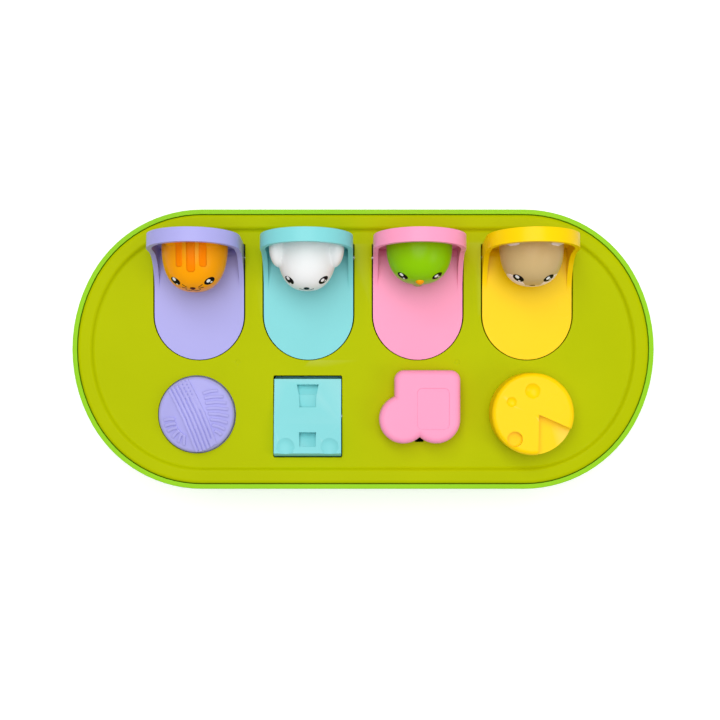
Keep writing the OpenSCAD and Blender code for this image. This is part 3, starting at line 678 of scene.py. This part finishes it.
# ---- Printed faces ----
# Eyes, noses, mouths, stripes and the mouse's mask are thin coats of gloss ink that follow
# the heads: flat shapes laid on the dome with a hair of thickness, in millimetres.
ink = {
    "black": plastic("ink_black", (0.004, 0.003, 0.004), 0.1, 0.0, 0.2, 0.02, 0.04),
    "white": plastic("ink_white", (0.92, 0.92, 0.92), 0.1, 0.0, 0.15, 0.02),
    "stripe": plastic("ink_stripe", (1.0, 0.24, 0.0), 0.1, 0.0, 0.25, 0.02, 0.03),
    "mask": plastic("ink_mask", (0.95, 0.80, 0.74), 0.1, 0.0, 0.25, 0.02),
    "brown": plastic("ink_brown", (0.07, 0.012, 0.003), 0.1, 0.0, 0.25, 0.02, 0.04),
}


def lay_on(patch, head, lift, method="NEAREST_SURFACEPOINT"):
    wrap = patch.modifiers.new("wrap", "SHRINKWRAP")
    wrap.target = head
    wrap.wrap_method = method
    if method == "PROJECT":
        wrap.use_project_y = True
        wrap.use_project_z = False
        wrap.use_positive_direction = True
        wrap.use_negative_direction = False
    wrap.wrap_mode = "ABOVE_SURFACE"
    wrap.offset = lift
    bpy.ops.object.modifier_apply(modifier="wrap")
    thick = patch.modifiers.new("coat", "SOLIDIFY")
    thick.thickness = 0.00004
    thick.offset = 1
    bpy.ops.object.modifier_apply(modifier="coat")
    bpy.ops.object.shade_smooth()
    return patch


def spot(head, u, v, width, height, colour, lift=0.03, slant=0.0, rings=5):
    """An oval of ink at u across and v up from a head's axis, in millimetres."""
    _, where, normal, _ = head.ray_cast(Vector((u * MM, -v * MM, 0.1)), Vector((0, 0, -1)))
    patch = fresh("spot", "circle", radius=1, vertices=40, fill_type="NGON")
    bpy.ops.transform.resize(value=(width / 2 * MM, height / 2 * MM, 1))
    for _ in range(rings):
        bpy.ops.mesh.inset(thickness=min(width, height) / 2 / (rings + 1) * MM)
    bpy.ops.mesh.poke()
    close(patch)
    side = Vector((math.cos(slant), math.sin(slant), 0))
    across = (side - normal * side.dot(normal)).normalized()
    down = normal.cross(across)
    patch.matrix_world = Matrix.Translation(where) @ Matrix((across, down, normal)).transposed().to_4x4()
    bpy.ops.object.transform_apply(location=True, rotation=True, scale=True)
    lay_on(patch, head, lift * MM)
    patch.data.materials.append(ink[colour])
    return patch


def line(head, path, width, colour):
    """A thin printed line through points given as u and v, in millimetres."""
    u, v = path[0]
    _, where, _, _ = head.ray_cast(Vector((u * MM, -v * MM, 0.1)), Vector((0, 0, -1)))
    patch = point("line", u * MM, -v * MM, where.z)
    for before, after in zip(path, path[1:]):
        for part in range(3):
            push(x=(after[0] - before[0]) / 3 * MM, y=-(after[1] - before[1]) / 3 * MM)
    bpy.ops.mesh.select_all(action="SELECT")
    push(y=width * MM)
    bpy.ops.object.mode_set(mode="OBJECT")
    lay_on(patch, head, 0.04 * MM)
    patch.data.materials.append(ink[colour])
    return patch


def eyes(head, u, v, width=7.2, height=5.6):
    """Black ovals with a large and a small highlight."""
    marks = []
    for side in (-1, 1):
        marks.append(spot(head, side * u, v, width, height, "black", 0.03, side * 0.1))
        marks.append(spot(head, side * u - 0.6, v + 0.7, width * 0.36, height * 0.42, "white", 0.08,
                          side * 0.1))
        marks.append(spot(head, side * u + 0.9, v - 1.5, width * 0.2, height * 0.2, "white", 0.08))
    return marks


def stripe(head, u, end, width):
    """A band of ink over the crown, round at the brow end."""
    patch = fresh("stripe", "grid", size=1, x_subdivisions=5, y_subdivisions=24)
    bpy.ops.transform.resize(value=(width * MM, end * MM, 1))
    for row, share in ((end / 48, 0.55), (end / 16, 0.9)):
        pick(lambda vert: vert.co.y > end / 2 * MM - row * MM, "verts")
        bpy.ops.transform.resize(value=(share, 1, 1))
    close(patch)
    place(patch, turn_x=math.pi / 2)
    place(patch, u * MM, -0.03, end / 2 * MM)
    lay_on(patch, head, 0.03 * MM, "PROJECT")
    patch.data.materials.append(ink["stripe"])
    return patch


def nose(head, v, width, height, colour):
    return spot(head, 0, v, width, height, colour, 0.04)


faces = {
    "cat": (cat, eyes(cat, 10.2, 8.7) + [
        stripe(cat, 0, 20.9, 5.2), stripe(cat, -7.0, 17.8, 4.0), stripe(cat, 7.0, 17.8, 4.4),
        nose(cat, 7.2, 3.4, 2.8, "brown")] + [
        line(cat, [(0, 5.8), (side * 1.6, 4.2), (side * 3.4, 4.2), (side * 4.6, 5.6)], 1.0, "brown")
        for side in (-1, 1)] + [
        line(cat, [(side * 3.4, 7.0 + 1.3 * up), (side * 6.6, 7.2 + 3.4 * up)], 0.8, "brown")
        for side in (-1, 1) for up in (0, 1)]),
    "dog": (dog, eyes(dog, 10.3, 7.0) + [nose(dog, 5.2, 3.6, 3.2, "black")] + [
        line(dog, [(0, 3.6), (side * 1.8, 2.8), (side * 4.4, 4.4)], 0.9, "black") for side in (-1, 1)]),
    "bird": (bird, eyes(bird, 10.4, 7.2)),
    "mouse": (mouse, [spot(mouse, side * 10.6, 0.6, 14, 15, "mask", 0.02, rings=12) for side in (-1, 1)] + [
        spot(mouse, 0, -7, 26, 18, "mask", 0.02, rings=16)] + eyes(mouse, 9.2, 7.4, 7.4, 6.0) + [
        nose(mouse, 1.9, 3.6, 2.6, "black")] + [
        spot(mouse, side * 13.8, 16.6, 9, 9, "mask", 0.02, rings=4) for side in (-1, 1)]),
}
animals = {"cat": ("lilac", hood_x[0], "orange_plastic"), "dog": ("aqua", hood_x[1], "white_plastic"),
           "bird": ("pink", hood_x[2], "green_plastic"), "mouse": ("yellow", hood_x[3], "tan_plastic")}
neck_y, neck_r, neck_h = -0.014, 0.0045, 0.014
for animal, (head, marks) in faces.items():
    colour, x, slot = animals[animal]
    neck = close(disc("neck", x, hinge_y + neck_y, hinge_z + plate_top, neck_r, neck_h, 48))
    head.name = head.data.name = f"{animal}_head_skin"
    stand_up(head, x)
    soften(neck, 0.0002)
    join(head, neck)
    dressed(head, head_finish[f"{animal}_head"], f"lid_{colour}", slot, f"{animal}_head")
    for number, mark in enumerate(marks):
        mark.name = mark.data.name = f"{animal}_print_{number}"
        stand_up(mark, x)
        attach(mark, f"lid_{colour}")

# ---- Yarn button ----
# Lilac push button moulded as a ball of yarn: a domed cap with a band of strands across it,
# strands that fan out on its right and lower left, and below it a skirt, flange and stem.
button_top, flange = field + 0.009, under - 0.0022
cap_r, edge_round, edge_z = 0.0234, 0.003, field + 0.002
cap_turn = math.radians(72)
flange_t, flange_out, stem_r, stem_low = 0.002, 0.0026, 0.004, 0.028


def cap_height(radius):
    """Height of the domed cap and its rounded edge over a radius."""
    past = (radius - cap_r + edge_round) / edge_round
    if past > 0:
        return edge_z + edge_round * math.sqrt(max(1 - past ** 2, 0))
    reach = radius / (cap_r - edge_round) * cap_turn
    rise = (math.cos(reach) - math.cos(cap_turn)) / (1 - math.cos(cap_turn))
    return edge_z + edge_round + (button_top - edge_z - edge_round) * rise


cap = [(0, button_top)] + [(r * MM, cap_height(r * MM)) for r in range(2, 21, 2)]
cap += [(cap_r - edge_round * (1 - math.cos(a)), edge_z + edge_round * math.sin(a))
        for a in (math.radians(75 - 15 * i) for i in range(6))]
cap += [(cap_r, flange + flange_t), (cap_r + flange_out, flange + flange_t), (cap_r + flange_out, flange),
        (0.021, flange), (0.021, field + 0.001), (0.0185, field + 0.0025), (stem_r, field + 0.003),
        (stem_r, stem_low), (0, stem_low)]
button = lathe("button", cap, 128)


def strand(path, width):
    """A raised yarn strand that follows the cap through points given in millimetres."""
    x, y = path[0]
    piece = point("strand", x * MM, y * MM, cap_height(math.hypot(x, y) * MM))
    for before, after in zip(path, path[1:]):
        for part in range(1, 5):
            x0, y0 = [b + (a - b) * (part - 1) / 4 for a, b in zip(after, before)]
            x1, y1 = [b + (a - b) * part / 4 for a, b in zip(after, before)]
            push(x=(x1 - x0) * MM, y=(y1 - y0) * MM,
                 z=cap_height(math.hypot(x1, y1) * MM) - cap_height(math.hypot(x0, y0) * MM))
    bpy.ops.object.mode_set(mode="OBJECT")
    skin = piece.modifiers.new("skin", "SKIN")
    for vert in piece.data.skin_vertices[0].data:
        vert.radius = (width / 2 * MM, width / 2 * MM)
    bpy.ops.object.modifier_apply(modifier="skin")
    return piece


bow = [(-16, -1.6), (-8, -0.5), (0, 0), (8, -0.5), (16, -1.6)]
lean, first_row, row_gap, band_r = math.radians(-68), -6.2, 2.5, 22.6
strands = []
for row in range(6):
    across = first_row + row_gap * row
    long = math.sqrt(band_r ** 2 - across ** 2) / bow[-1][0]
    path = [(u * long, across + bend + 0.05 * u) for u, bend in bow]
    strands.append([(u * math.cos(lean) - v * math.sin(lean) - 1.2, u * math.sin(lean) + v * math.cos(lean))
                    for u, v in path])
fans = [
    ((4.5, 13.0), (13.5, 15.0)), ((5.5, 10.2), (16.8, 11.2)), ((6.2, 7.2), (18.8, 7.4)),
    ((7.0, 4.0), (19.8, 3.4)), ((8.0, 0.8), (20.0, -0.8)), ((9.0, -2.6), (19.4, -5.0)),
    ((10.2, -6.0), (17.8, -9.0)), ((11.6, -9.6), (15.6, -12.4)), ((-12.5, -2.6), (-19.6, -3.4)),
    ((-11.8, -5.2), (-18.9, -6.9)), ((-11.0, -7.6), (-17.4, -10.2)), ((-9.8, -9.4), (-14.4, -14.0)),
    ((-8.4, -10.8), (-10.8, -16.9)), ((-6.6, -12.0), (-7.4, -18.6)),
]
strands += [[start, ((start[0] + end[0]) / 2, (start[1] + end[1]) / 2 + 0.5), end] for start, end in fans]
strand_w = 1.9
yarn = [strand(path, strand_w) for path in strands]
join(yarn[0], *yarn[1:])
ball_cut = disc("trim", 0, 0, field + 0.001, cap_r - 0.0006, 0.02)
close(ball_cut)
cut(melt(yarn[0], 0.00028, 2), ball_cut, "INTERSECT")
bpy.ops.object.shade_smooth()
soften(button, 0.0003, 2, 40)
join(button, yarn[0])
place(button, button_x, button_y, 0)
wedge = kept("push_button", "button_wedge", lambda face: max(v.co.x for v in face.verts) > -0.0785
             and face.calc_center_median().z < flange + 0.003)
join(button, wedge)
dressed(button, hood_finish["lilac"], "button", "lilac_plastic", "push_button")

# ---- Rocker ----
# Aqua rocker switch, pressed down at the back: a block with round ends about its pin, its
# rear edge set forward, a low ridge across its top, sloping sockets and two soft hollows.
rocker_w, rocker_r, rocker_half, rocker_z = 0.0415, 0.0252, 0.008, field - 0.006
rocker_tilt = math.radians(8)
ridge, ridge_y, rear_step = 0.0011, 0.005, 0.0016
flat_end = math.sqrt(rocker_r ** 2 - rocker_half ** 2)
end_turn = 2 * math.asin(rocker_half / rocker_r)
rocker = point("rocker_cap", -rocker_w / 2, -flat_end, rocker_half)
push(y=flat_end - ridge_y, z=ridge)
push(y=flat_end + ridge_y, z=-ridge)
bpy.ops.mesh.spin(steps=12, angle=end_turn, center=(-rocker_w / 2, 0, 0), axis=(1, 0, 0))
push(y=-2 * flat_end)
bpy.ops.mesh.spin(steps=12, angle=end_turn, center=(-rocker_w / 2, 0, 0), axis=(1, 0, 0))
bpy.ops.mesh.select_all(action="SELECT")
bpy.ops.mesh.remove_doubles(threshold=0.01 * MM)
bpy.ops.mesh.edge_face_add()
push(x=rocker_w)
pick(lambda vert: vert.co.y > flat_end - rear_step and vert.co.z > 0, "verts")
bpy.ops.transform.translate(value=(0, -rear_step, 0))
close(rocker)


def block(name, x, y, z, width, length, height):
    """A closed block about a point, left open for editing."""
    piece = fresh(name, "cube", size=1)
    bpy.ops.transform.resize(value=(width, length, height))
    bpy.ops.transform.translate(value=(x, y, z))
    return piece


def socket(y, length, rear_w, front_w, rear_deep, front_deep):
    """A cutter for a hollow in the rocker's top, narrower or deeper at one end."""
    top = rocker_half + 0.002
    piece = block("socket", 0, y, top, 1 * MM, length, 0.004)
    for behind, width, deep in ((True, rear_w, rear_deep), (False, front_w, front_deep)):
        pick(lambda vert: (vert.co.y > y) == behind, "verts")
        bpy.ops.transform.resize(value=(width / MM, 1, 1), center_override=(0, y, top))
        pick(lambda vert: (vert.co.y > y) == behind and vert.co.z < top, "verts")
        bpy.ops.transform.translate(value=(0, 0, rocker_half - deep - top + 0.002))
    return close(piece)


cut(rocker, socket(0.0158, 0.0062, 0.0136, 0.0112, 0.0046, 0.0020))
cut(rocker, socket(0.0088, 0.0084, 0.0108, 0.0100, 0.0014, 0.0026))
cut(rocker, socket(-0.0153, 0.0089, 0.0105, 0.0100, 0.0056, 0.0016))
for side in (-1, 1):
    cut(rocker, ball("hollow", side * 0.0136, -0.0205, rocker_half + 0.0034, 0.0078, 0.0078, 0.0046))
soften(rocker, 0.0009, 3, 30)
place(rocker, turn_x=-rocker_tilt)
place(rocker, rocker_x, rocker_y, rocker_z)
leg = kept("rocker", "rocker_leg", lambda face: max(v.co.z for v in face.verts) < rocker_z - 0.0045
           and min(v.co.z for v in face.verts) < rocker_z - 0.012)
join(rocker, leg)
dressed(rocker, hood_finish["aqua"], "rocker", "aqua_plastic", "rocker")

# ---- Slider ----
# Pink slider knob shaped like a boot: a body with two round lobes in front, well rounded
# edges, a shallow field let into its top, and a stem through the slot.
slider_top, slider_low = field + 0.014, field + 0.0003
body_x0, body_w, lobe_y, lobe_r = slider_x - 0.0156, 0.0403, -0.043, 0.0148
body_y1, body_corner, lobe_dx = lobe_y + 0.030, 0.006, 0.0054
tall = slider_top - slider_low
left_x, right_x = body_x0 + lobe_dx, body_x0 + body_w - lobe_r
join_turn = math.degrees(math.acos(lobe_dx / lobe_r))
notch_turn = math.degrees(math.acos((right_x - left_x) / 2 / lobe_r))
slider = point("slider", body_x0, lobe_y + lobe_r * math.sin(math.radians(join_turn)), slider_low)
sweep(left_x, lobe_y, 180 + join_turn - notch_turn, 40, slider_low)
sweep(right_x, lobe_y, 180 - notch_turn, 28, slider_low)
push(y=body_y1 - body_corner - lobe_y)
sweep(body_x0 + body_w - body_corner, body_y1 - body_corner, 90, 10, slider_low)
push(x=2 * body_corner - body_w)
sweep(body_x0 + body_corner, body_y1 - body_corner, 90, 10, slider_low)
bpy.ops.mesh.select_all(action="SELECT")
bpy.ops.mesh.edge_face_add()
push(z=tall)
level(slider_top, "edges")
bpy.ops.mesh.bevel(offset=0.0038, segments=6, clamp_overlap=False)
close(slider)
inlay = block("inlay", 0.0428, -0.0365, slider_top + 0.0002, 0.0195, 0.025, 0.0013)
pick(lambda edge: abs(edge.verts[0].co.z - edge.verts[1].co.z) > 0.001, "edges")
bpy.ops.mesh.bevel(offset=0.003, segments=5)
cut(slider, close(inlay))
soften(slider, 0.0005, 3, 35)
stem = kept("slider_knob", "slider_stem", lambda face: max(v.co.z for v in face.verts) < field + 0.0005
            and min(v.co.z for v in face.verts) < field - 0.001)
join(slider, stem)
dressed(slider, hood_finish["pink"], "slider", "pink_plastic", "slider_knob")

# ---- Cheese knob ----
# Yellow turning knob moulded as a wheel of cheese: a rounded rim, a wedge let down into its
# top, two round dimples, and a flat-bottomed hole near its rim.
dial_r, dial_top, dial_round = 0.025, field + 0.020, 0.003
rim = [(dial_r - dial_round * (1 - math.cos(a)), dial_top - dial_round * (1 - math.sin(a)))
       for a in (math.radians(15 * i) for i in range(7))]
dial = lathe("dial", [(0, field + 0.0003), (dial_r, field + 0.0003)] + rim + [(0, dial_top)], 128)
slice_deep = 0.007
slice_face = point("slice", 0.0033, -0.0002, dial_top - slice_deep)
push(x=-0.0005, y=-0.0298)
push(x=0.0284, y=0.0176)
bpy.ops.mesh.select_all(action="SELECT")
bpy.ops.mesh.edge_face_add()
push(z=slice_deep + 0.002)
cut(dial, close(slice_face))


def dimple(x, y, radius, depth):
    """Sinks a shallow round hollow into the knob's top."""
    size = (radius ** 2 + depth ** 2) / (2 * depth)
    cut(dial, ball("dimple", x, y, dial_top - depth + size, size, size, size))


dimple(-0.0005, 0.0141, 0.0047, 0.0018)
dimple(-0.0132, 0.0074, 0.0031, 0.0014)
cut(dial, close(disc("bite", -0.0112, -0.0151, dial_top - 0.0045, 0.0047, 0.01, 48)))
soften(dial, 0.0006, 3, 38)
place(dial, dial_x, dial_y)
dial_stem = kept("dial_knob", "dial_stem", lambda face: max(v.co.z for v in face.verts) < field + 0.0005
                 and min(v.co.z for v in face.verts) < field - 0.001)
join(dial, dial_stem)
dressed(dial, hood_finish["yellow"], "dial", "yellow_plastic", "dial_knob")

# ---- Beak ----
# The bird's small orange beak, a rounded nub pressed onto the front of its head.
beak = ball("beak", 0, -0.0055, 0.0238, 0.0028, 0.0028, 0.0030)
stand_up(beak, hood_x[2])
bpy.ops.object.shade_smooth()
dressed(beak, plastic("beak_orange", (1.0, 0.36, 0.0)), "lid_pink", "orange_plastic", "bird_beak")
